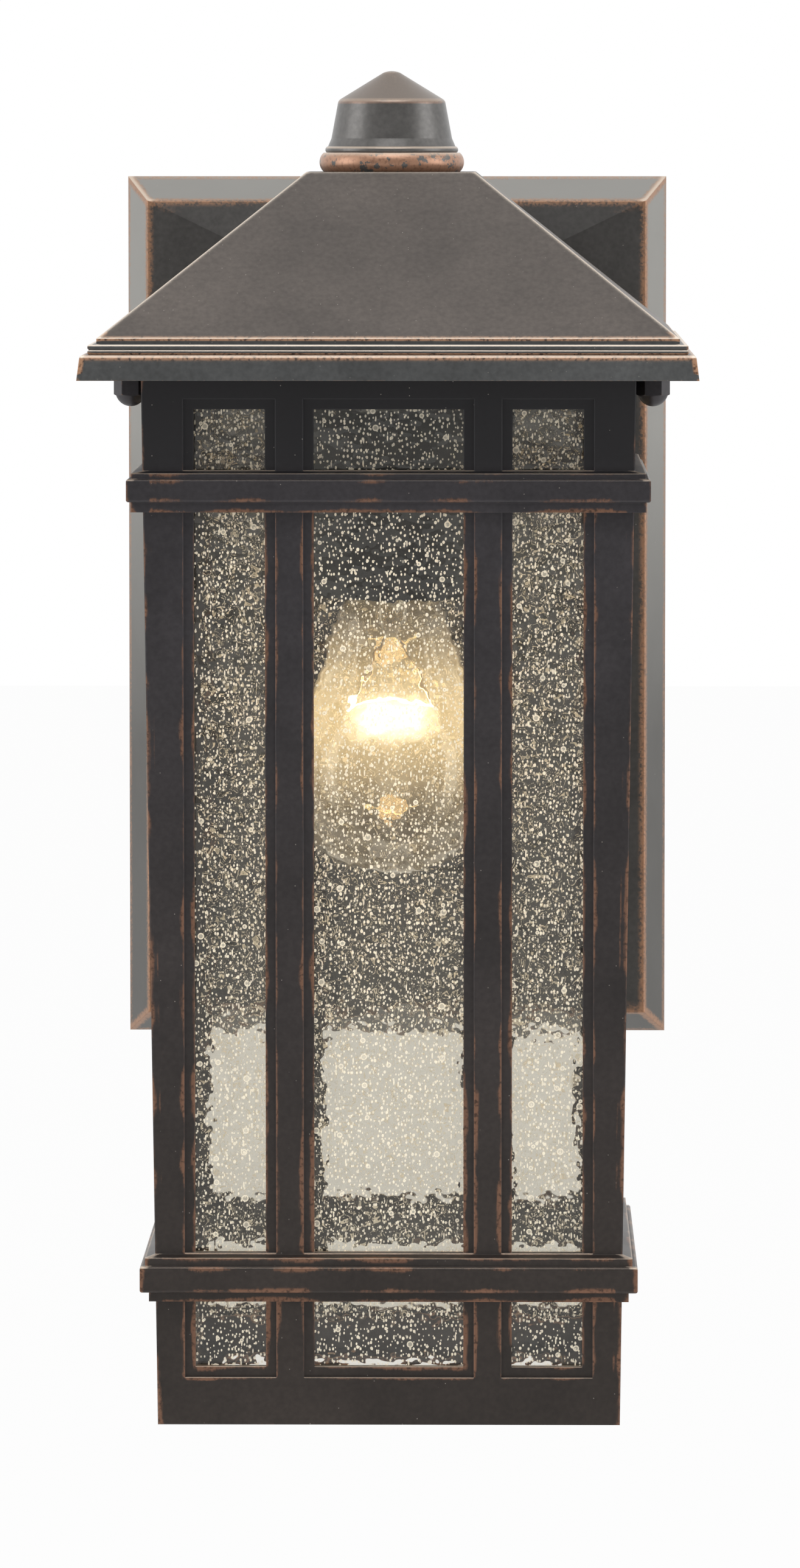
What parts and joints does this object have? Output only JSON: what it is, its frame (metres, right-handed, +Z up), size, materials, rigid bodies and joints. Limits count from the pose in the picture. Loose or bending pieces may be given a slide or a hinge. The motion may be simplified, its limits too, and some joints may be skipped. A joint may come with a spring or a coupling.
{
  "type": "outdoor wall light",
  "caption": "Outdoor wall lantern: a square glazed metal cage under a hipped roof, held off a rectangular wall plate by a short arm, with one bulb inside.",
  "frame": {"origin": "centre of the wall plate's rear face, on the wall", "axes": "+X to the right for someone who looks at the light, +Y into the wall, +Z up"},
  "size_m": [0.19, 0.235, 0.419],
  "materials": {
    "bronze_plate": "oil-rubbed bronze paint, satin, on cast aluminium",
    "bronze_arm": "oil-rubbed bronze paint, satin, on cast aluminium",
    "bronze_roof": "oil-rubbed bronze paint with copper rubbed edges, on cast aluminium",
    "bronze_finial": "oil-rubbed bronze paint with a copper rubbed ring, on cast aluminium",
    "bronze_panel": "oil-rubbed bronze paint with copper rubbed edges, on cast aluminium",
    "bronze_frame": "oil-rubbed bronze paint, on cast aluminium",
    "bronze_nut": "oil-rubbed bronze plating, worn to copper on its edges",
    "bronze_cup": "bronze paint on spun steel",
    "seeded_glass": "seeded glass, smoky",
    "plated_steel": "zinc plated",
    "black_steel": "black oxide",
    "green_steel": "green dyed zinc plate",
    "porcelain": "glazed porcelain",
    "shell_brass": "bare brass",
    "cap_aluminium": "rolled thread, bare",
    "bulb_glass": "clear, blown",
    "filament": "tungsten, glowing",
    "gasket_foam": "closed-cell foam rubber"
  },
  "bodies": {
    "wall_mount": {"backplate": "bronze_plate", "wall_gasket": "gasket_foam", "mounting_strap": "plated_steel", "strap_studs": "plated_steel", "strap_lock_nuts": "plated_steel", "ground_screw": "green_steel", "backplate_cap_nuts": "bronze_nut", "arm": "bronze_arm", "arm_plate_screws": "plated_steel", "arm_roof_screws": "plated_steel", "roof": "bronze_roof", "cage_studs": "plated_steel", "finial": "bronze_finial", "centre_nipple": "plated_steel", "nipple_washers": "plated_steel", "nipple_lock_nuts": "plated_steel", "socket_cup": "bronze_cup", "lampholder": "porcelain", "screw_shell": "shell_brass", "centre_contact": "shell_brass"},
    "cage": {"front_panel": "bronze_panel", "back_panel": "bronze_panel", "left_panel": "bronze_panel", "right_panel": "bronze_panel", "front_glass": "seeded_glass", "back_glass": "seeded_glass", "left_glass": "seeded_glass", "right_glass": "seeded_glass", "bottom_frame": "bronze_frame", "top_frame": "bronze_frame", "bottom_frame_screws": "black_steel", "top_frame_screws": "black_steel"},
    "left_nut": {"left_acorn_nut": "bronze_nut"},
    "right_nut": {"right_acorn_nut": "bronze_nut"},
    "bulb": {"bulb_envelope": "bulb_glass", "bulb_base": "cap_aluminium", "bulb_stem": "bulb_glass", "bulb_filament": "filament"}
  },
  "joints": [
    {"name": "cage_drop", "type": "slide", "parent": "wall_mount", "child": "cage", "axis": [0, 0, -1], "range_m": [0, 0.175]},
    {"name": "left_nut_off", "type": "slide", "parent": "cage", "child": "left_nut", "axis": [0, 0, -1], "range_m": [0, 0.01]},
    {"name": "right_nut_off", "type": "slide", "parent": "cage", "child": "right_nut", "axis": [0, 0, -1], "range_m": [0, 0.01]},
    {"name": "bulb_out", "type": "slide", "parent": "wall_mount", "child": "bulb", "axis": [0, 0, -1], "range_m": [0, 0.03]}
  ]
}
